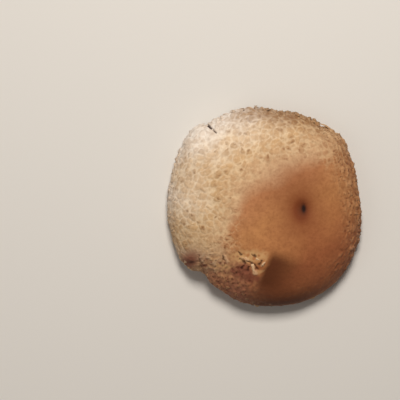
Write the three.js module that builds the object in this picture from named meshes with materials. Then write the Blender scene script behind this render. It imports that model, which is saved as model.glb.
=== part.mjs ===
// A trimmed portobello mushroom cap, lying gills down as it is sold and cooked.
// Millimetres, +Z up. The origin is on the surface that the mushroom rests on, under the middle
// of its outline. It grew as one piece, so the cap, the mass of gills and the stub of the stem
// are one closed solid.
import * as THREE from "three";

// Driving dimensions
const MARGIN_RADIUS = 53.4; // from the centre to the edge of the cap, before its swells and bays
const CAP_HEIGHT = 30; // crown above the resting plane
const WIDEST_HEIGHT = 4.6; // height at which the cap is widest
const DOME_FULLNESS = 2.5; // exponent of the dome's section: 2 is an ellipse, more is squarer
const MARGIN_WALL = 6.2; // thickness of the curled margin above its foot
const FOOT_OUTSIDE = 2.2; // from the widest line in to the flat that the margin bears on
const FOOT_WIDTH = 2;
const GILL_HEIGHT = 7; // the gills' free edges above the resting plane
const STEM_RADIUS = 11.2; // at the knife cut
const STEM_CUT_HEIGHT = 1; // the cut end stays just clear of the resting plane
const STEM_EDGE = 0.6; // the blunt edge of the cut
const STEM_FLARE = 3; // how much the stem widens on its way into the cap
const GUTTER_HEIGHT = 10.6; // the gutter between the stem and the gills, at its highest
const GUTTER_OUTSIDE = 8; // from the stem's side out to the inner ends of the gills

// Facets
const ROUND_STEPS = 96; // around the cap
const DOME_STEPS = 16; // from the widest line to the crown
const CURVE_STEPS = 4; // along each curve of the underside

// Where the cap's outline departs from a circle: [bearing, half width, depth] in degrees and mm.
const OUTLINE_SWELLS = [
  [44, 9, 3.6], // squared shoulder
  [63, 9, 1.8], // full edge between the squared shoulder and the waist
  [138, 17, 3.9], // broad shoulder
  [105, 18, 1.4], // full edge before the broad shoulder
  [238, 14, -2.6], // flattened side
  [308, 32, 2.5], // long side
  [8, 15, -2.2], // flattened side
];

// Folds in the margin that don't reach up the dome.
const MARGIN_FOLDS = [
  [212, 9, 0.6], // lobe beside the bay
  [226.5, 4.2, -3.9], // bay
  [84, 7, -1.1], // slight waist
];

// Stretches of the margin that curl up off the resting plane: [bearing, half width, rise].
const MARGIN_LIFTS = [
  [5, 16, 2.6],
  [108, 19, 3],
  [228, 16, 3.4],
];

// Broad dips and swells of the cap's upper side: [x, y, radius, height] in mm.
const CROWN_RELIEF = [
  [14, 0, 12, -2.2], // sunken middle
  [20, 0, 3.6, -1], // the dimple in it
  [7, -38, 7, -1.1], // valley between two swells of the side
  [-22, 14, 15, 1],
  [30, -24, 11, 0.8],
];

const degrees = THREE.MathUtils.degToRad;
const smooth = THREE.MathUtils.smoothstep;

// The shortest turn from one bearing to another, in degrees, without its sign.
function turnBetween(a, b) {
  return Math.abs(THREE.MathUtils.euclideanModulo(a - b + 180, 360) - 180);
}

// The sum of bell-shaped features at a bearing.
function featuresAt(features, bearing) {
  let sum = 0;
  for (const [at, halfWidth, size] of features) {
    sum += size * Math.exp(-((turnBetween(bearing, at) / halfWidth) ** 2));
  }
  return sum;
}

function reliefAt(x, y) {
  let sum = 0;
  for (const [atX, atY, radius, height] of CROWN_RELIEF) {
    sum += height * Math.exp(-((x - atX) ** 2 + (y - atY) ** 2) / (2 * radius ** 2));
  }
  return sum;
}

// The underside's half section, from the axis at the cut stem out to the widest line.
function undersideOutline() {
  const outline = new THREE.Path();
  const wallInside = MARGIN_RADIUS - MARGIN_WALL;
  const footOutside = MARGIN_RADIUS - FOOT_OUTSIDE;
  const flareTop = STEM_RADIUS + STEM_FLARE;
  const gutterOutside = STEM_RADIUS + GUTTER_OUTSIDE;
  const gillMiddle = (gutterOutside + wallInside) / 2 - 2; // the gills sag most nearer the stem
  outline.moveTo(0, STEM_CUT_HEIGHT);
  outline.lineTo(STEM_RADIUS - STEM_EDGE, STEM_CUT_HEIGHT);
  outline.lineTo(STEM_RADIUS, STEM_CUT_HEIGHT + STEM_EDGE);
  outline.quadraticCurveTo(STEM_RADIUS + STEM_EDGE, GILL_HEIGHT, flareTop, GUTTER_HEIGHT);
  outline.quadraticCurveTo(flareTop + 2, GUTTER_HEIGHT, gutterOutside, GILL_HEIGHT + 1.2);
  outline.quadraticCurveTo(gillMiddle, GILL_HEIGHT - 1, wallInside, GILL_HEIGHT);
  outline.quadraticCurveTo(wallInside, 1.2, footOutside - FOOT_WIDTH, 0); // the margin curls in
  outline.lineTo(footOutside, 0);
  outline.quadraticCurveTo(MARGIN_RADIUS, 0.6, MARGIN_RADIUS, WIDEST_HEIGHT);
  return outline.getPoints(CURVE_STEPS);
}

// The dome's half section, from just above the widest line to the axis at the crown.
function domeOutline() {
  const points = [];
  for (let step = 1; step <= DOME_STEPS; step += 1) {
    const turn = (step / DOME_STEPS) * (Math.PI / 2);
    const radius = MARGIN_RADIUS * Math.cos(turn) ** (2 / DOME_FULLNESS);
    const height = WIDEST_HEIGHT + (CAP_HEIGHT - WIDEST_HEIGHT) * Math.sin(turn);
    points.push(new THREE.Vector2(step < DOME_STEPS ? radius : 0, height));
  }
  return points;
}

// Takes a point of the plain round mushroom to its place on the real, uneven one.
function shapeByHand(point) {
  const radius = Math.hypot(point.x, point.y);
  const bearing = THREE.MathUtils.radToDeg(Math.atan2(point.y, point.x));
  const outward = smooth(radius, STEM_RADIUS * 1.5, MARGIN_RADIUS * 0.95);
  const atMargin = smooth(radius, MARGIN_RADIUS * 0.78, MARGIN_RADIUS * 0.98);
  const swell = featuresAt(OUTLINE_SWELLS, bearing) * outward;
  const fold = featuresAt(MARGIN_FOLDS, bearing) * atMargin;
  const grown = radius + swell + fold;

  const nearMargin = smooth(radius, MARGIN_RADIUS * 0.8, MARGIN_RADIUS);
  const belowCrown = 1 - smooth(point.z, WIDEST_HEIGHT, CAP_HEIGHT * 0.8);
  const lift = featuresAt(MARGIN_LIFTS, bearing) * nearMargin * belowCrown;
  const relief = reliefAt(point.x, point.y) * smooth(point.z, CAP_HEIGHT * 0.4, CAP_HEIGHT * 0.73);
  return new THREE.Vector3(
    grown * Math.cos(degrees(bearing)),
    grown * Math.sin(degrees(bearing)),
    point.z + lift + relief,
  );
}

function mushroomGeometry() {
  const section = [...undersideOutline(), ...domeOutline()];
  // The lathe turns its section about Y, so a quarter turn stands it up on Z.
  const geometry = new THREE.LatheGeometry(section, ROUND_STEPS).rotateX(Math.PI / 2);
  const places = geometry.getAttribute("position");
  for (let i = 0; i < places.count; i += 1) {
    const moved = shapeByHand(new THREE.Vector3().fromBufferAttribute(places, i));
    places.setXYZ(i, moved.x, moved.y, moved.z);
  }
  geometry.computeBoundingBox();
  const middle = geometry.boundingBox.getCenter(new THREE.Vector3());
  return geometry.translate(-middle.x, -middle.y, -geometry.boundingBox.min.z);
}

const skin = new THREE.MeshStandardMaterial({ color: "#a87b52", roughness: 0.78, metalness: 0 });
const mushroom = new THREE.Mesh(mushroomGeometry(), skin);
mushroom.name = "portobello_mushroom";

const part = new THREE.Group();
part.add(mushroom);

export default part;
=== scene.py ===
# %% [markdown]
# # A portobello mushroom, lying gills down
#
# The real thing is one grown piece: a broad dome of pale flesh under a thin brown skin, hundreds of brown
# gills that hang beneath it, and the stub of a stem cut off with a knife. The skin stops growing before the
# flesh does, so it cracks into little scales and the pale flesh shows between them. This script starts from
# the plain solid in the frame, measures it, and makes the skin, the gills and the cut stem over it.

# %% Load the frame
import math
import random

import bmesh
import bpy
import numpy as np
from mathutils import Matrix, Vector, noise
from mathutils.bvhtree import BVHTree


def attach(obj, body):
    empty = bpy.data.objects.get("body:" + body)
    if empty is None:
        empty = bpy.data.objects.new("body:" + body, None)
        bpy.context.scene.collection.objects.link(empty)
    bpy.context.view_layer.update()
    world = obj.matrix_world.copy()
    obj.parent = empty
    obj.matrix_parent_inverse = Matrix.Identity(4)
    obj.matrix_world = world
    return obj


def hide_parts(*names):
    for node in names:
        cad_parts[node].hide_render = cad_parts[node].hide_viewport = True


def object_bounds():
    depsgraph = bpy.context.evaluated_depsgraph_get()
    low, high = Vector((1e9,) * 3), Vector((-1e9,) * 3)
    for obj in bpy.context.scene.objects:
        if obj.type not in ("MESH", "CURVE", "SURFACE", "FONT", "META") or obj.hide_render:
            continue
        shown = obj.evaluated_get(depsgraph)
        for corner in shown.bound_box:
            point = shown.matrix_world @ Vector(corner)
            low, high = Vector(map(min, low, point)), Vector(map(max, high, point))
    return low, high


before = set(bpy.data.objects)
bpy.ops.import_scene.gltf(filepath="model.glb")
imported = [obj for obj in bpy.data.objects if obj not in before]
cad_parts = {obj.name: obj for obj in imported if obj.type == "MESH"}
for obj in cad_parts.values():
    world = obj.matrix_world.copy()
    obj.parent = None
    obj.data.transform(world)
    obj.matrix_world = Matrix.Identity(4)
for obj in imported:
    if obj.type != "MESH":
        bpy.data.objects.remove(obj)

MM = 0.001
NODE = "portobello_mushroom"
cad_low, cad_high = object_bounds()
print("the plain solid measures", [round(side / MM, 1) for side in cad_high - cad_low], "mm")

# %% [markdown]
# ## Helpers for materials
#
# Colours are written as they look on a screen, and one function turns them to a shader's linear values. One
# other adds a node, sets it up and links it. It finds an input by its identifier, because a Math or a Mix
# node has several inputs of the same name.

# %% Material helpers
NOISE_SWELL = 0.6  # a swell of the Noise Texture takes about this much of its own unit


def linear(colour):
    channels = [int(colour[i : i + 2], 16) / 255 for i in (1, 3, 5)]
    return [c / 12.92 if c <= 0.04045 else ((c + 0.055) / 1.055) ** 2.4 for c in channels] + [1]


def add_node(tree, kind, settings=None, stops=(), **inputs):
    """Adds a node. Each input is given as a value, a hex colour, a node or a socket."""
    node = tree.nodes.new("ShaderNode" + kind)
    for name, value in (settings or {}).items():
        setattr(node, name, value)
    for number, (position, colour) in enumerate(stops):
        elements = node.color_ramp.elements
        element = elements[number] if number < 2 else elements.new(position)
        element.position = position
        element.color = linear(colour)
    sockets = {socket.identifier: socket for socket in node.inputs}
    for name, value in inputs.items():
        socket = sockets.get(name) or sockets[name.replace("_", " ")]
        if isinstance(value, bpy.types.Node):
            value = next(output for output in value.outputs if output.enabled)
        if isinstance(value, bpy.types.NodeSocket):
            tree.links.new(value, socket)
        else:
            socket.default_value = linear(value) if isinstance(value, str) else value
    return node


def new_material(name):
    material = bpy.data.materials.new(name)
    material.use_nodes = True
    return material, material.node_tree, material.node_tree.nodes["Principled BSDF"]


print("mid grey in linear light:", round(linear("#808080")[0], 2))

# %% [markdown]
# ## Camera, floor and light
#
# A cap like this is usually seen from straight above, lying on its gills. A long lens keeps the sides of
# the dome from leaning in. The key lamp stands on the far side, low enough that each scale casts a little
# shade, and a weak one on the near left softens it. The floor is pale paper: even, matt and warm.

# %% The stage
VIEW_MIDDLE = Vector((-35.1, 4.2, 9.0)) * MM
VIEW_WIDTH = 217.6 * MM
CAMERA_DISTANCE = 900 * MM
SENSOR = 36.0


def area_lamp(name, place, size, watts, colour):
    lamp = bpy.data.lights.new(name, "AREA")
    lamp.size = size
    lamp.energy = watts
    lamp.color = colour
    holder = bpy.data.objects.new(name, lamp)
    holder.location = place
    middle = (cad_low + cad_high) / 2
    holder.rotation_euler = (middle - place).to_track_quat("-Z", "Y").to_euler()
    bpy.context.scene.collection.objects.link(holder)


scene = bpy.context.scene
scene.view_settings.view_transform = "Standard"
camera = bpy.data.objects.new("camera", bpy.data.cameras.new("camera"))
camera.data.sensor_width = SENSOR
camera.data.lens = SENSOR * CAMERA_DISTANCE / VIEW_WIDTH
camera.location = VIEW_MIDDLE + Vector((0, 0, CAMERA_DISTANCE))
scene.collection.objects.link(camera)
scene.camera = camera

area_lamp("key", Vector((0.02, 0.48, 0.80)), 0.3, 8.0, (1, 0.955, 0.9))
area_lamp("fill", Vector((-0.5, -0.25, 0.6)), 0.6, 0.8, (1, 0.95, 0.9))

world = bpy.data.worlds.new("studio")
world.use_nodes = True
sky = world.node_tree.nodes["Background"]
sky.inputs["Color"].default_value = (1, 0.94, 0.88, 1)
sky.inputs["Strength"].default_value = 0.13
scene.world = world

floor_grid = bmesh.new()
bmesh.ops.create_grid(floor_grid, x_segments=1, y_segments=1, size=1.5)
floor_mesh = bpy.data.meshes.new("floor")
floor_grid.to_mesh(floor_mesh)
floor_grid.free()
floor = bpy.data.objects.new("floor", floor_mesh)
scene.collection.objects.link(floor)
paper, _, shader = new_material("pale_paper")
shader.inputs["Base Color"].default_value = linear("#d9d5cf")
shader.inputs["Roughness"].default_value = 0.9
floor_mesh.materials.append(paper)
print("lens", round(camera.data.lens), "mm")

# %% [markdown]
# ## Measuring the plain solid
#
# The solid in the frame is faceted. A merged copy with a Subdivision Surface is as round as the real thing,
# and a BVH tree of it answers the question that shapes every piece here: where does a line meet the surface?
# The dome is met by lines towards its middle, and the gills' free edges by lines from straight below.

# %% A tree to measure by
WIDEST = 4.6 * MM  # how high the cap is widest


def rounded_tree(node):
    plain = bmesh.new()
    plain.from_mesh(node.data)
    bmesh.ops.remove_doubles(plain, verts=plain.verts, dist=1e-6)
    same_face = math.radians(60)
    bmesh.ops.join_triangles(
        plain, faces=plain.faces, angle_face_threshold=same_face, angle_shape_threshold=same_face
    )
    mesh = bpy.data.meshes.new("measured")
    plain.to_mesh(mesh)
    plain.free()
    holder = bpy.data.objects.new("measured", mesh)
    scene.collection.objects.link(holder)
    rounding = holder.modifiers.new("rounding", "SUBSURF")
    rounding.levels = rounding.render_levels = 2
    tree = BVHTree.FromObject(holder, bpy.context.evaluated_depsgraph_get())
    bpy.data.objects.remove(holder)
    return tree


solid = rounded_tree(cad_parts[NODE])


def dome_point(bearing, rise):
    """The outside of the cap, along a line from its middle at a bearing and an angle of rise."""
    level = math.cos(rise)
    outward = Vector((level * math.cos(bearing), level * math.sin(bearing), math.sin(rise)))
    return solid.ray_cast(Vector((0, 0, WIDEST)) + outward * 0.2, -outward)[0]


def height_below(x, y):
    """How high the underside is above the surface that the mushroom rests on."""
    hit = solid.ray_cast(Vector((x, y, -0.01)), Vector((0, 0, 1)))[0]
    return hit.z if hit else 0.0


print("crown at", round(dome_point(0, math.pi / 2).z / MM, 1), "mm")

# %% [markdown]
# ## The cap's form
#
# A lathed dome bunches its faces at the crown, where they pull into a star. A square grid pressed into a
# disc has no pole: each square ring of the grid becomes a round ring of the cap. Rings are spaced by their
# distance along the surface, so that the steep shoulder gets its share, and a little closer to the margin.

# %% Grid to dome
DOME_RINGS = 134
MEASURED_BEARING = math.radians(150)


def smoothstep(low, high, value):
    t = min(1.0, max(0.0, (value - low) / (high - low)))
    return t * t * (3 - 2 * t)


def square_to_disc(x, y):
    """The ring, from 0 to 1, and the bearing of a point of a square whose sides are at 1 and -1."""
    ring = max(abs(x), abs(y))
    if ring == 0:
        return 0.0, 0.0
    if abs(x) >= abs(y):
        return ring, math.pi / 4 * y / x + (0 if x > 0 else math.pi)
    return ring, math.pi / 2 - math.pi / 4 * x / y + (0 if y > 0 else math.pi)


def rise_by_distance():
    """How far along the dome each of 91 angles of rise is, from 0 to 1, the angles, and the whole length."""
    rises = [math.radians(90 - step) for step in range(91)]
    points = [dome_point(MEASURED_BEARING, rise) for rise in rises]
    lengths = np.cumsum([0] + [(b - a).length for a, b in zip(points, points[1:])])
    return lengths / lengths[-1], rises, lengths[-1]


distances, rises, dome_length = rise_by_distance()
cap = bmesh.new()
cover = cap.verts.layers.float.new("cover")
bmesh.ops.create_grid(cap, x_segments=2 * DOME_RINGS, y_segments=2 * DOME_RINGS, size=1)
for vert in cap.verts:
    ring, bearing = square_to_disc(vert.co.x, vert.co.y)
    along = ring * (1.2 - 0.2 * ring)
    vert.co = dome_point(bearing, float(np.interp(along, distances, rises)))
    vert[cover] = 1.0
print(len(cap.faces), "faces on the dome,", round(dome_length / MM, 1), "mm from crown to margin")

# %% [markdown]
# ## The rolled margin
#
# The margin of a real cap rolls under, and its skin ends inside the roll. The outermost ring is extruded
# round that roll, up its inner wall and in over the room for the gills. The last ring is merged to one point
# inside the stem, so that the cap is closed. A value on each vertex says whether skin covers it.

# %% Margin rolled under, and the flesh above the gills
ROLL_STEPS = 10
ROLL_WIDTH = 3.1 * MM
INNER_WALL = ((6.5, 8.5), (7.4, 11.8), (9.5, 13.2))  # mm in from the widest line, and mm high
FLESH_UNDERSIDE = 13.6 * MM
INSIDE_STEM = 12 * MM


def rolled_point(bearing, turn):
    """The radius and height of the rolled margin. Turn 0 is the widest line, and 90 degrees its lowest."""
    widest = dome_point(bearing, 0)
    radius = math.hypot(widest.x, widest.y)
    lowest_x = (radius - ROLL_WIDTH) * math.cos(bearing)
    lowest_y = (radius - ROLL_WIDTH) * math.sin(bearing)
    drop = WIDEST - height_below(lowest_x, lowest_y)
    inward = ROLL_WIDTH * (1 - math.cos(turn))
    return radius - inward, WIDEST - drop * math.sin(turn)


def extrude_ring(edges, place):
    """Extrudes the open edge. place turns a bearing into a new vertex's radius, height and cover."""
    made = bmesh.ops.extrude_edge_only(cap, edges=edges)["geom"]
    for vert in (item for item in made if isinstance(item, bmesh.types.BMVert)):
        bearing = math.atan2(vert.co.y, vert.co.x)
        radius, height, covered = place(bearing)
        vert.co = Vector((radius * math.cos(bearing), radius * math.sin(bearing), height))
        vert[cover] = covered
    return [item for item in made if isinstance(item, bmesh.types.BMEdge) and item.is_boundary]


open_edge = [edge for edge in cap.edges if edge.is_boundary]
for step in range(1, ROLL_STEPS + 1):
    turn = math.pi * step / ROLL_STEPS
    covered = 1 - smoothstep(math.radians(60), math.radians(125), turn)
    open_edge = extrude_ring(open_edge, lambda b: (*rolled_point(b, turn), covered))
for inward, height in INNER_WALL:
    open_edge = extrude_ring(open_edge, lambda b: (rolled_point(b, 0)[0] - inward * MM, height * MM, 0.0))
open_edge = extrude_ring(open_edge, lambda b: (INSIDE_STEM, FLESH_UNDERSIDE, 0.0))
inner_verts = list({vert for edge in open_edge for vert in edge.verts})
bmesh.ops.pointmerge(cap, verts=inner_verts, merge_co=Vector((0, 0, FLESH_UNDERSIDE)))
bmesh.ops.recalc_face_normals(cap, faces=cap.faces)
print(sum(edge.is_boundary for edge in cap.edges), "open edges left,", len(cap.faces), "faces")

# %% [markdown]
# ## What changes round the cap
#
# The crown's skin is whole, and from a certain distance out it is cracked: far in on one side, only at the
# very margin on another. The margin is ragged in one place and smooth in the next. Each of these is a value
# listed at a few bearings, with the values in between worked out.

# %% Values that change round the cap


def round_the_cap(values):
    """Turns values at a few bearings, in degrees, into one value for every degree."""
    return np.interp(range(360), list(values), list(values.values()), period=360).tolist()


def at_bearing(table, bearing):
    low = int(bearing)
    return table[low % 360] + (table[(low + 1) % 360] - table[low % 360]) * (bearing - low)


outline = [math.hypot(*dome_point(math.radians(b), 0).xy) / MM for b in range(360)]
cracked_beyond = round_the_cap({  # mm from the middle of the cap
    0: 43, 25: 41, 45: 35, 70: 26, 100: 18, 140: 14, 180: 16, 215: 18, 240: 23, 255: 28, 265: 40, 280: 58,
    310: 58, 330: 50, 345: 45,
})
raggedness = round_the_cap({  # how far the margin's edge is broken up
    0: 0.4, 30: 0.5, 50: 0.8, 62: 1.1, 105: 1.1, 112: 0.3, 122: 0.2, 180: 0.4, 200: 0.4, 225: 0.15,
    270: 0.1, 330: 0.25,
})
pale_rim = round_the_cap({  # how much flesh shows along the very edge
    0: 0.1, 60: 0.2, 104: 0.3, 108: 1.2, 121: 1.2, 124: 0.3, 195: 0.4, 205: 0.6, 222: 0.7, 250: 0.6,
    262: 0.7, 305: 0.7, 320: 0.3,
})
stranded = round_the_cap({  # how far the margin's torn edges show
    0: 1.0, 30: 0.9, 50: 0.7, 70: 0.5, 105: 0.5, 118: 0.15, 180: 0.3, 215: 0.3, 240: 0.35, 262: 0.2,
    285: 0.15, 310: 0.3, 330: 0.8,
})
swollen = round_the_cap({  # mm that the margin bulges out, most of all beside the split
    18: 0, 26: 0.3, 36: 0.3, 44: -0.3, 56: -0.9, 66: -0.3, 74: 0, 125: 0, 128: 1.9, 132: 1.9, 144: 0,
})
# Painted shade: the margin is darkened where it turns down and away from the light.
painted_margin_shade = round_the_cap({  # how much the skin darkens towards the margin
    0: 0.4, 18: 0.5, 35: 0.4, 55: 0.6, 72: 1.0, 92: 1.0, 105: 0.8, 113: 0.5, 120: 0.2, 150: 0.1, 200: 0.15,
    225: 0.1, 240: 0.2, 258: 0.75, 272: 1.0, 290: 0.85, 308: 0.2, 335: 0.1,
})
print("the margin is", round(min(outline), 1), "to", round(max(outline), 1), "mm from the middle")

# %% [markdown]
# ## Shapes to paint with
#
# What a sculptor would do with a brush is done here by moving each vertex along its normal. The brushes are
# a soft wave, an oval swell, a straight stroke and a pattern of scales. Its scales are the cells of a
# Voronoi pattern, and its cracks are where the nearest two cell centres are equally far. Places are in
# millimetres.

# %% Brushes


def wave(place, millimetres, seed=0.0):
    """Smooth noise from -1 to 1 whose swells are about that many millimetres apart."""
    return noise.noise(place / millimetres + Vector((seed, seed * 1.7, seed * 0.6)))


def round_wave(outward, count, level):
    """Smooth noise that follows the margin round. level is the place up and down."""
    return noise.noise(Vector((outward.x * count, outward.y * count, level)))


def bump(place, x, y, width, length=None, turned=0.0):
    """A round or oval swell of height 1 at x, y. length is along the direction turned gives, in degrees."""
    a = math.radians(turned)
    dx = place.x - x
    dy = place.y - y
    along = dx * math.cos(a) + dy * math.sin(a)
    across = -dx * math.sin(a) + dy * math.cos(a)
    return math.exp(-((along / (length or width)) ** 2) - (across / width) ** 2)


def stroke(place, x0, y0, x1, y1, width):
    """A straight stroke between two points, 1 along its middle and tapered to its start."""
    line_x = x1 - x0
    line_y = y1 - y0
    t = ((place.x - x0) * line_x + (place.y - y0) * line_y) / (line_x**2 + line_y**2)
    t = min(1.0, max(0.0, t))
    away = math.hypot(place.x - x0 - line_x * t, place.y - y0 - line_y * t)
    return 1 - smoothstep(0.3, 1.0, away / (width * (0.35 + 0.65 * t)))


def scale_pattern(place, normal, pitch, seed):
    """The gap to the nearest crack, the scale's own number from -1 to 1, and the way from its centre."""
    stray = Vector([wave(place, pitch, seed + k) for k in (7, 11, 13)]) * 0.3 * pitch
    stray += Vector([wave(place, pitch * 0.35, seed + k) for k in (27, 31, 33)]) * 0.08 * pitch
    warped = (place + stray) / pitch + Vector((seed, 0, 0))
    spacing, centres = noise.voronoi(warped)
    from_centre = (warped - centres[0]) * pitch
    number = noise.cell(centres[0] * 7.3)
    return spacing[1] - spacing[0], number, from_centre - normal * from_centre.dot(normal)


def crack_line(gap, width):
    return 1 - smoothstep(0.1 * width, 1.25 * width, gap)


print("a stroke on its middle line:", round(stroke(Vector((5, 0, 0)), 0, 0, 10, 0, 1), 2))

# %% [markdown]
# ## Scales, spots and flecks
#
# Broad scales cover most of the cracked skin, and finer ones the sides. Many scales keep a brown spot where
# the old skin is thickest. Low on the side the skin is broken into short flecks that point away from the
# crown. The skin is brown on the side that grew in the light and cream on the other.

# %% The scales at a place
BROAD_SCALES = 3.5  # mm between scales
FINE_SCALES = 2.0
FLECKS = 2.4  # mm between the flecks of a tufted side
FINE_RIGHT = (47, 12, 11, 34, 100)  # ovals, here and below: x, y, width, length in mm, and the way they lie
FINE_LEFT = (-22, -36, 18, 26, 145)


def cracked_at(place, bearing, radius):
    wander = 5 * wave(place, 13) + 3.5 * wave(place, 5, 3)
    return smoothstep(-12, 15, radius + wander - at_bearing(cracked_beyond, bearing))


def scales_at(place, normal, outward, cracked):
    """How far in a crack a place is, the brown spot there, the scale's number and its raised outer tip."""
    fine = bump(place, *FINE_RIGHT) + bump(place, *FINE_LEFT) + 0.4 * wave(place, 9, 61)
    fine = smoothstep(0.3, 0.7, fine)
    broad_gap, own, from_centre = scale_pattern(place, normal, BROAD_SCALES, 0)
    fine_gap = scale_pattern(place, normal, FINE_SCALES, 40)[0]
    opened = max(0.1, (0.7 + 1.1 * wave(place, 4, 17)) * (0.4 + 0.6 * cracked))
    broad = crack_line(broad_gap, 0.34 * opened) * (1 - 0.5 * fine)
    crack = max(broad, crack_line(fine_gap, 0.36 * opened) * (0.22 + 0.6 * fine))
    crack *= smoothstep(0.15, 0.75, cracked)
    tip = smoothstep(-0.3, 0.5, from_centre.dot(outward) / BROAD_SCALES)
    aside = Vector((math.cos(own * 40), math.sin(own * 40), 0)) * 0.8
    ragged = from_centre - aside + Vector((wave(place, 1.1, 41), wave(place, 1.1, 43), 0)) * 1.1
    spot = (1 - smoothstep(0.2, 1.2, ragged.length)) * smoothstep(0.2, 0.6, own)
    return crack, spot, own, tip


def flecks_at(place, normal, outward):
    """Short dark flecks that point away from the crown."""
    number, off = scale_pattern(place, normal, FLECKS, 80)[1:]
    along = off.dot(outward)
    aside = (off - outward * along).length
    return (1 - smoothstep(0.4, 1.1, math.hypot(along / 1.3, aside / 0.62))) * smoothstep(0.1, 0.4, number)


def fade_at(place):
    """How far the skin has faded: 0 on the brown side that grew in the light, 1 on the cream side."""
    across = 0.866 * place.y - 0.5 * place.x  # grows towards a bearing of 120 degrees
    sheltered = (0.2 + 0.24 * math.exp(-(((place.y + 28) / 9) ** 2))) * smoothstep(-46, -32, place.y)
    sheltered *= smoothstep(8, 32, -place.x) * (1 - smoothstep(2, 24, place.y))
    return min(1.0, max(0.0, (across + 36) / 88 + sheltered + 0.05 * wave(place, 12, 37)))


print("the crown is faded by", round(fade_at(Vector((0, 0, 29))), 2))

# %% [markdown]
# ## The torn patch and the valley
#
# Low on the cap a patch of skin has been rubbed off. Cream flesh shows there with short cuts and pale torn
# edges, and below it the flesh is bruised red. The cuts are darkened with painted shade. Beside it a valley
# runs down the cap, steep and crisp on one side, and painted shade darkens the valley below that side. Every
# cut is placed one by one, because a pattern would give them all the same look.

# %% The torn patch and the valley at a place
TORN_PATCH = (-9.6, -26.2, 4.1, 13.5, 4)
STRAY_PATCH = (-23.5, -31, 4.5, 9, -12)
SORES = (  # how strong each bruised oval is, and the oval
    (1.0, (-13.5, -33, 4, 6.5, 8)), (0.8, (-7.5, -37.3, 3.4, 4.6)), (0.6, (-32.6, -30.4, 2.4, 4.5, 60)),
)
# The cuts' dark colour is painted shade in them.
CUTS = [  # short dark cuts, each from one point to another, and its width
    (-14.0, -27.2, -11.0, -29.5, 1.1), (-10.0, -28.3, -7.3, -30.0, 1.0), (-6.2, -29.9, -4.4, -32.6, 0.9),
    (-2.0, -28.2, -3.6, -30.2, 0.9), (-11.9, -30.6, -12.9, -32.2, 1.2), (-8.8, -31.4, -9.6, -33.2, 1.2),
    (-15.0, -23.6, -13.2, -25.2, 0.8), (-7.6, -25.0, -5.4, -26.0, 0.7), (-23.2, -25.6, -22.4, -27.8, 0.8),
]
FLAKES = [  # pale torn edges beside them
    (-7.4, -30.0, -5.6, -34.6, 1.6), (-0.4, -28.6, -1.9, -30.2, 1.0),
    (-12.4, -26.4, -9.6, -28.0, 1.0), (-21.8, -25.4, -20.5, -28.6, 1.3),
]
WEDGE = (-0.9, -33.3, -3.9, -34.2, 1.7)  # skin left between the patch and the valley
BANK_TOP = Vector((1.8, -27.0))  # the valley's steep side runs down the cap from here
BANK_ALONG = Vector((-0.36, -0.933))


def valley_at(place):
    """How far right of the steep side a place is, and how much of the valley and of its bank is there."""
    across = (place.x - BANK_TOP.x) * -BANK_ALONG.y + (place.y - BANK_TOP.y) * BANK_ALONG.x
    down = (place.x - BANK_TOP.x) * BANK_ALONG.x + (place.y - BANK_TOP.y) * BANK_ALONG.y
    reach = smoothstep(-7, 1, down) * (1 - smoothstep(12, 28, down))
    wavering = across + 1.1 * wave(place, 6, 9) + 0.5 * wave(place, 2.2, 15)
    softness = 1.1 + 0.22 * abs(down - 6)
    right = smoothstep(-softness, softness, wavering)
    valley = right * math.exp(-((max(0.0, across - 3) / 15) ** 2)) * reach
    bank = (1 - right) * math.exp(-((across / 6) ** 2)) * reach
    return across, valley, bank


def torn_patch_at(place, right_of_bank):
    """How far the skin is torn off, and how raw and how sore the flesh is there."""
    torn = smoothstep(0.2, 0.8, bump(place, *TORN_PATCH) + 0.35 * wave(place, 2.6, 5))
    torn *= 1 - smoothstep(-2, 0, right_of_bank)
    raw = 0.9 * torn * smoothstep(-0.6, 0.0, wave(place, 1.8, 65))
    stray = 0.85 * bump(place, *STRAY_PATCH) * smoothstep(-0.5, 0.3, wave(place, 2.2, 67))
    sore = sum(strength * bump(place, *oval) for strength, oval in SORES) + 0.3 * wave(place, 2, 83)
    return torn, max(raw, 0.6 * stroke(place, *WEDGE), stray), 0.75 * smoothstep(0.2, 0.8, sore)


print(len(CUTS), "cuts and", len(FLAKES), "pale edges in the torn patch")

# %% [markdown]
# ## Tufts, strands and the margin's edge
#
# Low on one side the old skin stands in tufts, with a red tinge round them, and painted shade in the gaps
# between them. Along the margin its torn edges lie in strands that follow the edge, with small pits between
# them, and the edge itself is broken into lumps. Painted shade darkens the pits and the hollows between the
# strands. Their noise goes round with the bearing and down with the distance from the edge, so that nothing
# is drawn out on the steep rim.

# %% The margin at a place
TUFTED_SIDE = (-21, -36, 12, 21, 150)
ROSY_SIDE = (-17, -40, 13, 23, 152)
FLAP = (104, 108, 121, 122)  # degrees: a flap of the margin starts, is full, and ends beside the split


def tufts_at(place, outward, from_edge, skin_left):
    """How far the side is tufted, and how much tuft and how much gap between tufts is at a place."""
    tufted = smoothstep(0.25, 0.7, bump(place, *TUFTED_SIDE) + 0.1 * wave(place, 6, 75))
    tufts = round_wave(outward, 24, from_edge / 2.8) + 0.5 * round_wave(outward, 52, from_edge / 1.5)
    tuft = smoothstep(-0.1, 0.5, tufts) * tufted * skin_left
    between = smoothstep(0.05, 0.5, -tufts) * tufted * skin_left
    return tufted, tuft, between


def rosy_at(place):
    rosy = smoothstep(0.15, 0.75, bump(place, *ROSY_SIDE) + 0.15 * wave(place, 7, 91))
    return rosy * (1 - 0.7 * smoothstep(-13, -6, place.x))


def strands_at(outward, from_edge, edge_band):
    """How much of a strand, of a pit and of the hollow between strands is at a place."""
    strands = round_wave(outward, 14, from_edge / 1.6) + 0.4 * round_wave(outward, 34, from_edge / 1.1)
    pit = smoothstep(0.3, 0.5, round_wave(outward, 30, from_edge / 1.5 + 40))
    hollow = smoothstep(0, 0.4, -strands)
    return smoothstep(0.1, 0.45, strands) * edge_band, pit * edge_band, hollow * edge_band


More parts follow.
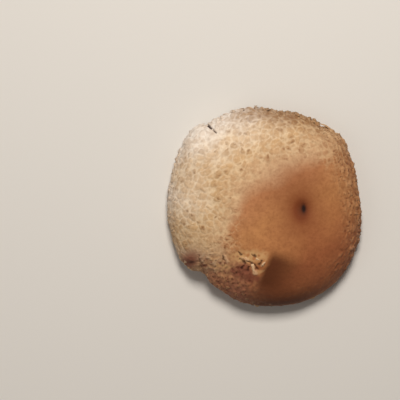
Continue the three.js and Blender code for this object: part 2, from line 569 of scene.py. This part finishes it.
def edge_height(outward, bearing, inset, level):
    """How far the margin's edge stands out: its lumps, the flap beside the split, and its slow swelling."""
    broken = (1 - smoothstep(0.4, 2.6, inset)) * at_bearing(raggedness, bearing)
    lump = abs(round_wave(outward, 17, level / 3.5))
    flap_start, flap_full, flap_ending, flap_end = FLAP
    flap = smoothstep(flap_start, flap_full, bearing) * (1 - smoothstep(flap_ending, flap_end, bearing))
    flap *= 1 - smoothstep(0.5, 1.8, inset)
    shoulder = (1 - smoothstep(1, 8, inset)) * at_bearing(swollen, bearing)
    return broken * (2.7 * lump - 0.4) + 0.4 * flap + shoulder


def bearing_and_inset(place):
    """A place's bearing in degrees, and how far in from the widest line it is."""
    bearing = math.degrees(math.atan2(place.y, place.x)) % 360
    return bearing, max(0.0, at_bearing(outline, bearing) - math.hypot(place.x, place.y))


# Painted shade: how much darker the skin is near the margin, where it turns away from the light.
def painted_margin_shade_at(bearing, inset):
    return (1 - smoothstep(1, 13, inset)) * at_bearing(painted_margin_shade, bearing)


print("the margin's skin is darkened by", round(painted_margin_shade_at(90, 0), 2), "at the far side")

# %% [markdown]
# ## The whole relief
#
# One function adds up the heights of all this at a place, with the sunken spot, the small lobe's spot and
# the split in the margin. It gives the same numbers as marks, which are kept on the vertices as attributes,
# so that the material colours exactly what is modelled.

# %% The relief and the marks at a place
# The split is darkened with painted shade inside it.
SPLIT = (-26.3, 40.4, -31.3, 45.3, 0.9)  # where it starts, where it opens, its width
DIMPLE = Vector((18.8, -1.5))  # the browned skin round the sunken spot
DIMPLE_REACH = 11
SUNKEN_SPOT = (20.3, -0.4, 1.1, 2.2, 92)
SUNKEN_HALO = (19.4, -0.6, 3, 4.5, 90)
BANK_BRUISE = (-3.6, -31.6, 1.8, 2.4)
LOBE = (-41, -29, 5, 7, 35)
LOBE_SPOT = (-40.0, -29.6, 1.2, 2.5)
# The crease is darkened a little with painted shade.
LOBE_CREASE = (-36.2, -25.5, -34.6, -32.0, 1.1)


def skin_at(place, normal, covered):
    """Height in millimetres above the plain form, and the marks that the material reads."""
    bearing, inset = bearing_and_inset(place)
    outward = Vector((math.cos(math.radians(bearing)), math.sin(math.radians(bearing)), 0))
    above_margin = place.z - WIDEST / MM
    from_edge = math.copysign(math.hypot(inset, above_margin), above_margin)
    darkened = painted_margin_shade_at(bearing, inset)
    cracked = cracked_at(place, bearing, math.hypot(place.x, place.y))
    crack, spot, own, tip = scales_at(place, normal, outward, cracked)

    right_of_bank, valley, bank = valley_at(place)
    torn, raw, sore = torn_patch_at(place, right_of_bank)
    shaken = place + Vector((wave(place, 1.3, 23), wave(place, 1.3, 29), 0)) * 0.7
    cut = max(stroke(shaken, *ends) for ends in CUTS)
    flake = max(stroke(shaken, *ends) for ends in FLAKES)
    plate = cracked * (1 - torn)

    tufted, tuft, between = tufts_at(place, outward, from_edge, 1 - torn)
    fleck = flecks_at(place, normal, outward) * tufted * plate
    edge_band = 1 - smoothstep(6, 15, inset + 3 * wave(place, 5, 51))
    edge_band *= (1 - torn) * at_bearing(stranded, bearing)
    strand, pit, hollow = strands_at(outward, from_edge, edge_band)
    rim = (1 - smoothstep(0.3, 1.3, inset)) * at_bearing(pale_rim, bearing)
    rim *= smoothstep(-0.4, 0.3, wave(place, 3, 97))

    split = stroke(place, *SPLIT)
    dimple = math.exp(-math.hypot(place.x - DIMPLE.x, (place.y - DIMPLE.y) / 1.4) / DIMPLE_REACH)
    stain = 0.95 * bump(place, *SUNKEN_SPOT) + 0.45 * bump(place, *SUNKEN_HALO)
    lobe = bump(place, *LOBE)
    pock = bump(place, *LOBE_SPOT)
    crease = stroke(shaken, *LOBE_CREASE) * smoothstep(4, 12, place.z)

    height = 0.4 * wave(place, 19, 2) + 0.12 * wave(place, 7, 4) + 0.03 * wave(place, 1.6, 8)
    height += plate * (0.18 * tip * (0.3 + 0.7 * own) * (1 - crack) - 0.24 * crack)
    height += 0.4 * strand - 0.2 * pit - 0.1 * fleck + 0.35 * tuft - 0.15 * between
    height += 0.6 * bank - 0.5 * valley + edge_height(outward, bearing, inset, place.z)
    height += 0.4 * flake
    height -= 0.2 * torn + 0.7 * cut + 1.3 * split + 0.35 * pock + 0.5 * crease
    marks = {
        "cracked": cracked,
        "crack": 0.85 * crack * (1 - torn) * (1 - 0.8 * tufted) * (1 - 0.75 * darkened),
        "spot": max(spot * plate, 0.3 * own * plate) * (1 - 0.6 * tufted),
        "pale": min(1.0, max(0.8 * rim, 0.55 * strand * (1 - 0.5 * darkened), 0.6 * tuft)),
        # Painted shade towards the margin.
        "margin": darkened,
        "bruise": min(1.0, max(1.35 * dimple, 0.6 * bump(place, *BANK_BRUISE))),
        "rosy": max(0.7 * rosy_at(place) * (1 - 0.5 * tuft), min(1.0, 1.1 * lobe)),
        # Painted shade in the valley, below its steep side.
        "shade": valley,
        "raw": raw,
        "sore": sore,
        # Besides the dark flecks and the darker lobe, this lays painted shade in the gaps between tufts, in
        # the pits and in the hollows between strands.
        "fleck": max(0.75 * fleck, 0.22 * between, 0.6 * pit, 0.5 * lobe, 0.15 * hollow),
        "flake": 0.85 * flake,
        # Painted shade in the cuts, in the split and in the lobe's crease.
        "cut": min(1.0, max(0.8 * cut, split, 0.3 * crease)),
        "stain": min(1.0, max(stain, 0.7 * pock)),
    }
    marks = {name: value * covered for name, value in marks.items()}
    marks["fade"] = fade_at(place)
    marks["pale"] = max(marks["pale"], 1 - covered)
    # Painted shade over the flesh above the gills, deep between the plates.
    marks["fleck"] = max(marks["fleck"], 0.8 * (1 - covered) * smoothstep(6.2, 7.2, inset))
    return height * covered, marks


crown_height, crown_marks = skin_at(Vector((0, 0, 29)), Vector((0, 0, 1)), 1.0)
print("the crown is moved by", round(crown_height, 2), "mm and has", len(crown_marks), "marks")

# %% [markdown]
# ## Pressing the relief into the cap
#
# All the heights are worked out before any vertex moves, so that every normal is still the plain form's, and
# no vertex may sink through the surface that the mushroom rests on. A finished piece then becomes an object,
# which rides on the mushroom's one body and stands for its one node.

# %% Press the relief, and finish a piece
layers = {name: cap.verts.layers.float.new(name) for name in crown_marks}


def press(bm, height_of, lowest):
    """Moves every vertex along its normal by a height in millimetres, but not below the lowest."""
    bm.normal_update()
    moves = [(vert, vert.normal * height_of(vert) * MM) for vert in bm.verts]
    for vert, move in moves:
        vert.co += move
        vert.co.z = max(vert.co.z, lowest)
    print("the longest move is", round(max(move.length for _, move in moves) / MM, 1), "mm")


def marked_height(vert):
    height, marks = skin_at(vert.co / MM, vert.normal, vert[cover])
    for name, value in marks.items():
        vert[layers[name]] = value
    return height


press(cap, marked_height, 0.02 * MM)


def thicken(bm, thickness):
    """Gives all the small grids of a mesh their thickness at once."""
    bmesh.ops.solidify(bm, geom=bm.faces[:], thickness=thickness)
    bmesh.ops.recalc_face_normals(bm, faces=bm.faces)


def finish_piece(name, bm, material):
    """Makes the bmesh an object that rides on the frame, smooth shaded."""
    mesh = bpy.data.meshes.new(name)
    for face in bm.faces:
        face.smooth = True
    bm.to_mesh(mesh)
    bm.free()
    mesh.materials.append(material)
    piece = bpy.data.objects.new(name, mesh)
    scene.collection.objects.link(piece)
    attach(piece, "root")
    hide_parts(NODE)
    mesh.calc_loop_triangles()
    print(name, "has", len(mesh.loop_triangles), "triangles")


# %% [markdown]
# ## Cap skin
#
# The skin is a thin felt of brown threads over cream flesh, so it is matt and slightly velvety, with no
# clear highlight. It is darkest on the side that grew in the light, and fades to cream on the other. The
# cracks show the flesh. The threads are too thin to see one by one, so they are drawn coarser than real, as
# a mottling a millimetre across.
#
# Five ramps give the colours of the whole skin, the scales, the flesh, the brown spots and the painted shade
# of the margin, each from the brown side to the cream side. Each mark on the vertices then lays its own
# colour over them.

# %% Skin material
WHOLE_SKIN = ((0, "#a6633f"), (0.14, "#bb7d4d"), (0.3, "#c48955"), (0.46, "#ba7e53"), (0.57, "#d6ae86"),
    (0.75, "#dab58b"), (0.88, "#e2c4a2"), (1, "#f6eadc"))
SCALES = ((0, "#a66540"), (0.14, "#ba7c4d"), (0.3, "#c08657"), (0.46, "#bb8459"), (0.57, "#d0a980"),
    (0.75, "#cfa97c"), (0.88, "#dcbf9d"), (1, "#f3e7da"))
FLESH = ((0, "#bd875b"), (0.3, "#cf9c6c"), (0.57, "#dcbb90"), (0.75, "#e3c8a2"), (0.88, "#ecd8bd"),
    (1, "#fcf5ec"))
SPOTS = ((0, "#6a3a20"), (0.3, "#84502c"), (0.57, "#82512c"), (0.75, "#8a6038"), (1, "#a58d77"))
# The painted shade of the margin, from the brown side to the cream side.
SHADED_MARGINS = ((0, "#452414"), (0.3, "#6b3c20"), (0.57, "#84592f"), (0.75, "#84572c"), (1, "#a07e5a"))
RAMPED_MARKS = {"cracked": SCALES, "margin": SHADED_MARGINS, "spot": SPOTS, "crack": FLESH, "pale": FLESH}
# Of these colours, "shade" is painted shade in the valley, and "cut" is painted shade in the cuts, the split
# and the crease. "fleck" also lays painted shade in gaps, pits, hollows and above the gills.
MARK_COLOURS = {
    "bruise": "#7a3d1c", "rosy": "#9c6750", "shade": "#61341c", "raw": "#c99c6a", "sore": "#743b2d",
    "fleck": "#5c2c1b", "flake": "#d3a981", "cut": "#35140a", "stain": "#220b04",
}
MIX = {"data_type": "RGBA"}
SCALED = {"operation": "MULTIPLY_ADD"}
SCALED_AND_CLAMPED = {"operation": "MULTIPLY_ADD", "use_clamp": True}
FLESH_IOR = 1.4  # mostly water


def set_surface(tree, shader, colour, roughness, grain, depth, strength):
    """Links a mixed colour and a fine grain to a shader, and gives it the IOR of flesh."""
    tree.links.new(colour.outputs[2], shader.inputs["Base Color"])
    shader.inputs["Roughness"].default_value = roughness
    shader.inputs["IOR"].default_value = FLESH_IOR
    relief = add_node(tree, "Bump", Height=grain, Distance=depth, Strength=strength)
    tree.links.new(relief.outputs["Normal"], shader.inputs["Normal"])


skin, tree, shader = new_material("mushroom_skin")
place = add_node(tree, "TexCoord").outputs["Object"]
blotches = add_node(tree, "TexNoise", Vector=place, Scale=NOISE_SWELL / (14 * MM), Detail=3)
threads = add_node(tree, "TexNoise", Vector=place, Scale=NOISE_SWELL / (0.9 * MM), Detail=6)
mottling = add_node(tree, "TexNoise", Vector=place, Scale=NOISE_SWELL / (2.4 * MM), Detail=4)
fade = add_node(tree, "Attribute", {"attribute_name": "fade"}).outputs["Fac"]
uneven = add_node(tree, "Math", SCALED, Value=blotches, Value_001=0.16, Value_002=-0.08)
fade = add_node(tree, "Math", {"operation": "ADD"}, Value=fade, Value_001=uneven)
colour = add_node(tree, "ValToRGB", stops=WHOLE_SKIN, Fac=fade)
for mark, stops in RAMPED_MARKS.items():
    amount = add_node(tree, "Attribute", {"attribute_name": mark}).outputs["Fac"]
    layer = add_node(tree, "ValToRGB", stops=stops, Fac=fade)
    colour = add_node(tree, "Mix", MIX, Factor_Float=amount, A_Color=colour, B_Color=layer)
spotted = add_node(tree, "ValToRGB", stops=SPOTS, Fac=fade)
for grain, strength, offset in ((mottling, 0.75, -0.28), (threads, 1.2, -0.52)):
    amount = add_node(tree, "Math", SCALED_AND_CLAMPED,
        Value=grain, Value_001=strength, Value_002=offset)
    colour = add_node(tree, "Mix", MIX, Factor_Float=amount, A_Color=colour, B_Color=spotted)
for mark, hue in MARK_COLOURS.items():
    amount = add_node(tree, "Attribute", {"attribute_name": mark}).outputs["Fac"]
    colour = add_node(tree, "Mix", MIX, Factor_Float=amount, A_Color=colour, B_Color=hue)
set_surface(tree, shader, colour, 0.66, threads, 0.25 * MM, 0.6)
shader.inputs["Specular IOR Level"].default_value = 0.22
shader.inputs["Sheen Weight"].default_value = 0.02
shader.inputs["Sheen Roughness"].default_value = 0.5
finish_piece("cap", cap, skin)

# %% [markdown]
# ## Lifted scales
#
# Near the margin some scales have dried and curled up, and the torn patch has peeled into cream curls. Each
# one is a small tapered grid, bent up to its tip. Shreds of the veil that joined the cap to the stem hang
# along the edge, as thin strips that follow it. One pass of solidify makes them all thick.

# %% A curl and a shred
SKIN_THICKNESS = 0.16 * MM
OVER_THE_EDGE = 0.985  # from here on a curl hangs straight down

curls = bmesh.new()
curl_marks = {name: curls.verts.layers.float.new(name) for name in ("fade", "margin", "peel", "own", "tip")}
chance = random.Random(5)


def mark_curl(vert, base, peel, own, tip):
    """Gives a vertex what the curls' material reads. base is where the curl grows from."""
    values = {"fade": fade_at(base), "margin": painted_margin_shade_at(*bearing_and_inset(base)),
        "peel": peel, "own": own, "tip": tip}
    for name, value in values.items():
        vert[curl_marks[name]] = value


def on_dome(bearing, along):
    return dome_point(bearing, float(np.interp(along, distances, rises)))


def add_curl(bearing, along, turned, length, width, lift, peel):
    """A curl that points away from the crown, turned by an angle. Lengths are in millimetres."""
    base = on_dome(bearing, along)
    ahead = on_dome(bearing, along + 0.01)
    normal = solid.find_nearest(base)[1]
    forward = (ahead - base).normalized() if along < OVER_THE_EDGE else Vector((0, 0, -1))
    forward = (Matrix.Rotation(turned, 3, normal) @ forward).normalized()
    side = normal.cross(forward)
    relief = skin_at(base / MM, normal, 1.0)[0]
    own = chance.random()
    for vert in bmesh.ops.create_grid(curls, x_segments=2, y_segments=4, size=0.5)["verts"]:
        across = vert.co.x * 2
        out = vert.co.y + 0.5
        taper = max(0.15, math.sqrt(1 - out**3))
        height = relief - 0.15 + lift * out**1.6 - 0.18 * width * across * across * out
        place = base / MM + forward * (length * (out - 0.3)) + side * (width / 2 * across * taper)
        place += side * 0.2 * width * wave(place, 1.3, 3)
        vert.co = (place + normal * height) * MM
        vert.co.z = max(vert.co.z, 0.1 * MM)
        mark_curl(vert, base / MM, peel, own, out)


def add_shred(start, span, stand_off, width, free_end, peel):
    """A thin strip along the margin from a bearing, over a span of degrees, that stands off in between."""
    own = chance.random()
    for vert in bmesh.ops.create_grid(curls, x_segments=8, y_segments=1, size=0.5)["verts"]:
        along = vert.co.x + 0.5
        across = vert.co.y
        bearing = math.radians(start + span * along)
        edge = dome_point(bearing, math.radians(3))
        away = stand_off * (along if free_end else math.sin(math.pi * along))
        taper = 0.25 + 0.75 * math.sin(math.pi * min(1.0, 0.1 + 0.85 * along))
        radius = math.hypot(edge.x, edge.y) / MM - 0.4 + away + across * width * taper
        rise = edge.z / MM + 0.5 * away - 0.5 * across * width + 0.3 * wave(edge / MM, 2.5, start)
        vert.co = Vector((radius * math.cos(bearing), radius * math.sin(bearing), rise)) * MM
        mark_curl(vert, edge / MM, peel, own, 0.5)


print(len(curl_marks), "marks for each curl")

# %% [markdown]
# ## Where the scales lift
#
# The dried scales are scattered near the margin by a seeded random generator. Those that fall on cracked
# skin are kept, more of them where the edge is ragged. The cream curls and the shreds are few and easy to
# see, so each is placed one by one.

# %% Scatter the curls and hang the shreds
TRIED_PLACES = 1100
TORN_CURLS = [  # x, y, direction in degrees, length, width, in mm
    (-6.9, -31.2, -77, 4.8, 1.7), (-1.6, -29.9, 50, 2.6, 1.1),
    (-4.6, -27.4, -10, 2.4, 1.0), (-10.4, -27.0, -38, 2.6, 1.0),
]
SHREDS = [  # bearing, span in degrees, stand-off and width in mm, whether its end is free, how pale it is
    (49, 8, 1.0, 0.8, False, 0.1), (72, 4, 1.0, 0.9, True, 0.3), (82, 6, 1.1, 0.9, False, 0.3),
    (88, 4, 1.3, 0.8, True, 0.2), (96, 6, 1.1, 0.9, False, 0.3), (104, 3, 0.9, 0.8, True, 0.3),
    (208, 7, 0.6, 0.7, False, 0.4), (264, 3.4, 0.7, 0.9, False, 0.7), (296, 4.5, 0.6, 0.8, False, 0.5),
    (302, 3, 0.6, 0.6, True, 0.4), (338, 5, 0.7, 0.7, False, 0.2), (16, 6, 0.6, 0.7, False, 0.2),
]

for _ in range(TRIED_PLACES):
    bearing = chance.uniform(0, 2 * math.pi)
    along = 1 - abs(chance.gauss(0, 0.08))
    base = on_dome(bearing, along) / MM
    draws = [chance.random() for _ in range(4)]
    degrees = math.degrees(bearing) % 360
    cracked = cracked_at(base, degrees, math.hypot(base.x, base.y))
    if cracked > 0.45 and draws[0] < 0.25 + 0.4 * at_bearing(raggedness, degrees):
        turned = (draws[1] - 0.5) * 0.9
        length = 1.6 + 1.2 * draws[2]
        width = 1.4 + 1.2 * draws[3]
        add_curl(bearing, along, turned, length, width, lift=0.2 + 0.45 * draws[1], peel=0.15)
for x, y, direction, length, width in TORN_CURLS:
    bearing = math.atan2(y, x)
    reach = [math.hypot(p.x, p.y) for p in (dome_point(bearing, rise) for rise in rises)]
    along = float(np.interp(math.hypot(x, y) * MM, reach, distances))
    add_curl(bearing, along, math.radians(direction) - bearing, length, width, lift=0.35, peel=1.0)
for shred in SHREDS:
    add_shred(*shred)
thicken(curls, SKIN_THICKNESS)
print(len(curls.faces), "faces of lifted skin")

# %% [markdown]
# ## Dried skin
#
# A lifted scale is the cap's felt, dry and peeled from its flesh: dull, darker where it is thick, and paler
# at its thin tip. The curls of the torn patch are plain cream. Every curl has a number of its own, so that
# no two are quite the same brown. Its threads are drawn coarser than real, half a millimetre apart.

# %% Curl material
curl_skin, tree, shader = new_material("peeled_mushroom_skin")
place = add_node(tree, "TexCoord").outputs["Object"]
marks = {name: add_node(tree, "Attribute", {"attribute_name": name}).outputs["Fac"] for name in curl_marks}
colour = add_node(tree, "ValToRGB", stops=SCALES, Fac=marks["fade"])
# The margin mark lays the painted shade of the margin over the curls there.
for mark, strength, stops in (("own", 0.5, SPOTS), ("tip", 0.45, FLESH), ("margin", 0.75, SHADED_MARGINS)):
    amount = add_node(tree, "Math", {"operation": "MULTIPLY"}, Value=marks[mark], Value_001=strength)
    layer = add_node(tree, "ValToRGB", stops=stops, Fac=marks["fade"])
    colour = add_node(tree, "Mix", MIX, Factor_Float=amount, A_Color=colour, B_Color=layer)
colour = add_node(tree, "Mix", MIX, Factor_Float=marks["peel"], A_Color=colour, B_Color="#d8b28a")
threads = add_node(tree, "TexNoise", Vector=place, Scale=NOISE_SWELL / (0.6 * MM), Detail=4)
set_surface(tree, shader, colour, 0.7, threads, 0.15 * MM, 0.5)
finish_piece("scale_curls", curls, curl_skin)

# %% [markdown]
# ## Gills
#
# The gills are thin plates that hang edge down from the flesh, like the pages of a book set round a spine.
# Only one in four runs all the way from the margin to the gutter round the stem. The others fill the room
# between those towards the margin. Each plate is a small grid stood on edge, and its free edge swings a
# little to one side.

# %% Gill plates
GILL_COUNT = 432
GILL_THICKNESS = 0.3 * MM
GILL_INNER_ENDS = (15.2, 38, 27, 37)  # mm from the middle, for the gills of a set of four
GILL_ROOT = FLESH_UNDERSIDE + 0.4 * MM  # a little way into the flesh
WALL = 6.2 * MM  # from the widest line in to the inner side of the rolled margin
DROOP = 0.25 * MM  # how far a gill's edge may be above or below the plain solid's underside

chance = random.Random(11)
gills = bmesh.new()
gill_tone = gills.verts.layers.float.new("tone")
gill_depth = gills.verts.layers.float.new("depth")
for number in range(GILL_COUNT):
    bearing = 2 * math.pi * (number + chance.uniform(-0.18, 0.18)) / GILL_COUNT
    inner = (GILL_INNER_ENDS[number % 4] + chance.uniform(-1.8, 1.2)) * MM
    outer = rolled_point(bearing, 0)[0] - WALL
    own_tone = chance.random()
    own_droop = chance.uniform(-1, 1) * DROOP
    for vert in bmesh.ops.create_grid(gills, x_segments=10, y_segments=2, size=0.5)["verts"]:
        along = vert.co.x + 0.5
        up = vert.co.y + 0.5
        radius = inner + (outer - inner) * along
        foot = Vector((radius * math.cos(bearing), radius * math.sin(bearing), 0))
        shorter = min(1.0, (outer - 1.2 * MM) / radius)
        edge = height_below(foot.x * shorter, foot.y * shorter) + own_droop
        edge += 0.22 * MM * wave(foot / MM, 1.8, number)
        if number % 4:
            edge += (FLESH_UNDERSIDE - edge) * 0.9 * (1 - smoothstep(0, 0.35, along))
        swing = (0.55 * wave(foot / MM, 7, 5) + 0.1 * wave(foot / MM, 2, number)) * MM * (1 - up)
        vert.co = foot + Vector((-math.sin(bearing), math.cos(bearing), 0)) * swing
        vert.co.z = edge + (GILL_ROOT - edge) * up
        vert[gill_tone] = own_tone
        vert[gill_depth] = up
thicken(gills, GILL_THICKNESS)
print(GILL_COUNT, "gills,", len(gills.faces) // GILL_COUNT, "faces each")

# %% [markdown]
# ## Ripe gill tissue
#
# Ripe gills are chocolate brown with their own spores, and dusted lighter where spores have settled. Painted
# shade darkens them deep between two plates, towards the flesh they hang from. The spores make them as dull
# as velvet. A spore is under a hundredth of a millimetre, so the velvet is drawn coarser than real, half a
# millimetre across.

# %% Gill material
gill_skin, tree, shader = new_material("ripe_gill_tissue")
place = add_node(tree, "TexCoord").outputs["Object"]
tone = add_node(tree, "Attribute", {"attribute_name": "tone"}).outputs["Fac"]
colour = add_node(tree, "ValToRGB", stops=((0, "#4a3026"), (0.5, "#5d3d2f"), (1, "#6f4b3a")), Fac=tone)
# Painted shade: darker towards the root, deep between two plates.
depth = add_node(tree, "Attribute", {"attribute_name": "depth"}).outputs["Fac"]
depth = add_node(tree, "Math", {"operation": "MULTIPLY"}, Value=depth, Value_001=0.8)
colour = add_node(tree, "Mix", MIX, Factor_Float=depth, A_Color=colour, B_Color="#2b1a13")
dust = add_node(tree, "TexNoise", Vector=place, Scale=NOISE_SWELL / (3 * MM), Detail=4)
dust = add_node(tree, "Math", SCALED_AND_CLAMPED, Value=dust, Value_001=1.2, Value_002=-0.5)
colour = add_node(tree, "Mix", MIX, Factor_Float=dust, A_Color=colour, B_Color="#8a6650")
velvet = add_node(tree, "TexNoise", Vector=place, Scale=NOISE_SWELL / (0.5 * MM), Detail=3)
set_surface(tree, shader, colour, 0.72, velvet, 0.08 * MM, 0.5)
finish_piece("gills", gills, gill_skin)

# %% [markdown]
# ## Stem
#
# The stem was cut across just under the cap. Its side is threaded lengthwise, and it widens where it joins
# the cap. A circle is extruded up the side, and again inwards over the cut face, so that the faces of both
# stay even. The cut face is a little fibrous and keeps the shallow marks of the knife.

# %% Stem stub
STEM_RADIUS = 11.2 * MM
STEM_FLARE = 3.4 * MM
STEM_SIDES = 168
SIDE_STEPS = 18
FACE_STEPS = 20
WORN_EDGE = 0.4 * MM
CUT_HEIGHT = height_below(0, 0)
SIDE_TOP = FLESH_UNDERSIDE + 0.5 * MM

stem = bmesh.new()
cut_face = stem.verts.layers.float.new("cut")
rim = bmesh.ops.create_circle(stem, segments=STEM_SIDES, radius=STEM_RADIUS - WORN_EDGE)["verts"]
bmesh.ops.translate(stem, verts=rim, vec=Vector((0, 0, CUT_HEIGHT)))
for vert in rim:
    vert[cut_face] = 1.0
rim_edges = stem.edges[:]


def stem_rings(rings, cut, closed_at):
    """Extrudes the rim through a list of (radius, height) rings, and merges the last one to a point."""
    edges = rim_edges
    for radius, height in rings:
        made = bmesh.ops.extrude_edge_only(stem, edges=edges)["geom"]
        new_verts = [item for item in made if isinstance(item, bmesh.types.BMVert)]
        for vert in new_verts:
            flat = Vector((vert.co.x, vert.co.y, 0)).normalized() * radius
            vert.co = Vector((flat.x, flat.y, height))
            vert[cut_face] = cut
        made_edges = [item for item in made if isinstance(item, bmesh.types.BMEdge)]
        edges = [edge for edge in made_edges if all(vert in new_verts for vert in edge.verts)]
    bmesh.ops.pointmerge(stem, verts=new_verts, merge_co=Vector((0, 0, closed_at)))


side_foot = CUT_HEIGHT + WORN_EDGE
side_height = SIDE_TOP - side_foot
shares = [step / SIDE_STEPS for step in range(SIDE_STEPS + 1)]
stem_rings([(STEM_RADIUS + STEM_FLARE * t**3.5, side_foot + side_height * t) for t in shares], 0.0, SIDE_TOP)
shares = [1 - step / FACE_STEPS for step in range(1, FACE_STEPS)]
stem_rings([((STEM_RADIUS - WORN_EDGE) * t, CUT_HEIGHT) for t in shares], 1.0, CUT_HEIGHT)
bmesh.ops.recalc_face_normals(stem, faces=stem.faces)
print("the stem is cut", round(CUT_HEIGHT / MM, 1), "mm above the surface")

# %% [markdown]
# ## The stem's surface
#
# Threads run up the side, so the noise there changes quickly round the stem and slowly along it. The cut
# face is uneven, with threads that spread from the middle and faint ridges where the knife dragged.

# %% Press the stem's surface
KNIFE_MARKS = 1.9  # radians of a ridge for each millimetre


def cut_relief(place, outward):
    """Height in millimetres above the flat cut."""
    spread = Vector((outward.x * 9, outward.y * 9, place.length * 0.12))
    height = 0.16 * noise.noise(spread) * smoothstep(1, 8, math.hypot(place.x, place.y))
    height += 0.25 * wave(place, 6) + 0.1 * wave(place, 0.9)
    return height + 0.14 * math.sin(place.x * KNIFE_MARKS + wave(place, 4) * 2)


def side_relief(place, outward):
    """Height in millimetres above the round side."""
    return 0.3 * round_wave(outward, 14, place.z * 0.12) + 0.5 * wave(place, 8)


def stem_height(vert):
    bearing = math.atan2(vert.co.y, vert.co.x)
    outward = Vector((math.cos(bearing), math.sin(bearing), 0))
    relief_at = cut_relief if vert[cut_face] > 0.5 else side_relief
    return relief_at(vert.co / MM, outward)


press(stem, stem_height, 0.3 * MM)

# %% [markdown]
# ## Cut stem flesh
#
# Fresh flesh is cream and dull, and it browns as it dries: at the rim of the cut, in the middle and in
# blotches. The side is streaked lengthwise, by noise that is stretched along the stem. The real threads are
# finer than these, which are drawn a millimetre apart so that they show.

# %% Stem material
CUT_FLESH = ((0, "#c9a988"), (0.3, "#e2cdb0"), (0.75, "#ecdcc3"), (0.93, "#c79e78"), (1, "#8f6344"))
STEM_SIDE = ((0.3, "#b08a69"), (0.5, "#d3b594"), (0.72, "#e6d2b7"))

stem_skin, tree, shader = new_material("cut_stem_flesh")
place = add_node(tree, "TexCoord").outputs["Object"]
level = add_node(tree, "VectorMath", {"operation": "MULTIPLY"}, Vector=place, Vector_001=(1, 1, 0))
from_axis = add_node(tree, "VectorMath", {"operation": "LENGTH"}, Vector=level).outputs["Value"]
uneven = add_node(tree, "TexNoise", Vector=place, Scale=NOISE_SWELL / (2.5 * MM), Detail=4)
uneven = add_node(tree, "Math", SCALED, Value=uneven, Value_001=0.24, Value_002=-0.12)
rings = add_node(tree, "Math", SCALED, Value=from_axis, Value_001=1 / STEM_RADIUS, Value_002=uneven)
cut_colour = add_node(tree, "ValToRGB", stops=CUT_FLESH, Fac=rings)
lengthwise = add_node(tree, "Mapping", Vector=place, Scale=(1, 1, 0.12))
threads = add_node(tree, "TexNoise", Vector=lengthwise, Scale=NOISE_SWELL / (0.9 * MM), Detail=4)
side_colour = add_node(tree, "ValToRGB", stops=STEM_SIDE, Fac=threads)
on_cut = add_node(tree, "Attribute", {"attribute_name": "cut"}).outputs["Fac"]
colour = add_node(tree, "Mix", MIX, Factor_Float=on_cut, A_Color=side_colour, B_Color=cut_colour)
dried = add_node(tree, "TexNoise", Vector=place, Scale=NOISE_SWELL / (1.2 * MM), Detail=5)
dried = add_node(tree, "Math", SCALED_AND_CLAMPED, Value=dried, Value_001=1.6, Value_002=-0.85)
colour = add_node(tree, "Mix", MIX, Factor_Float=dried, A_Color=colour, B_Color="#9c7350")
set_surface(tree, shader, colour, 0.6, threads, 0.15 * MM, 0.5)
finish_piece("stem", stem, stem_skin)
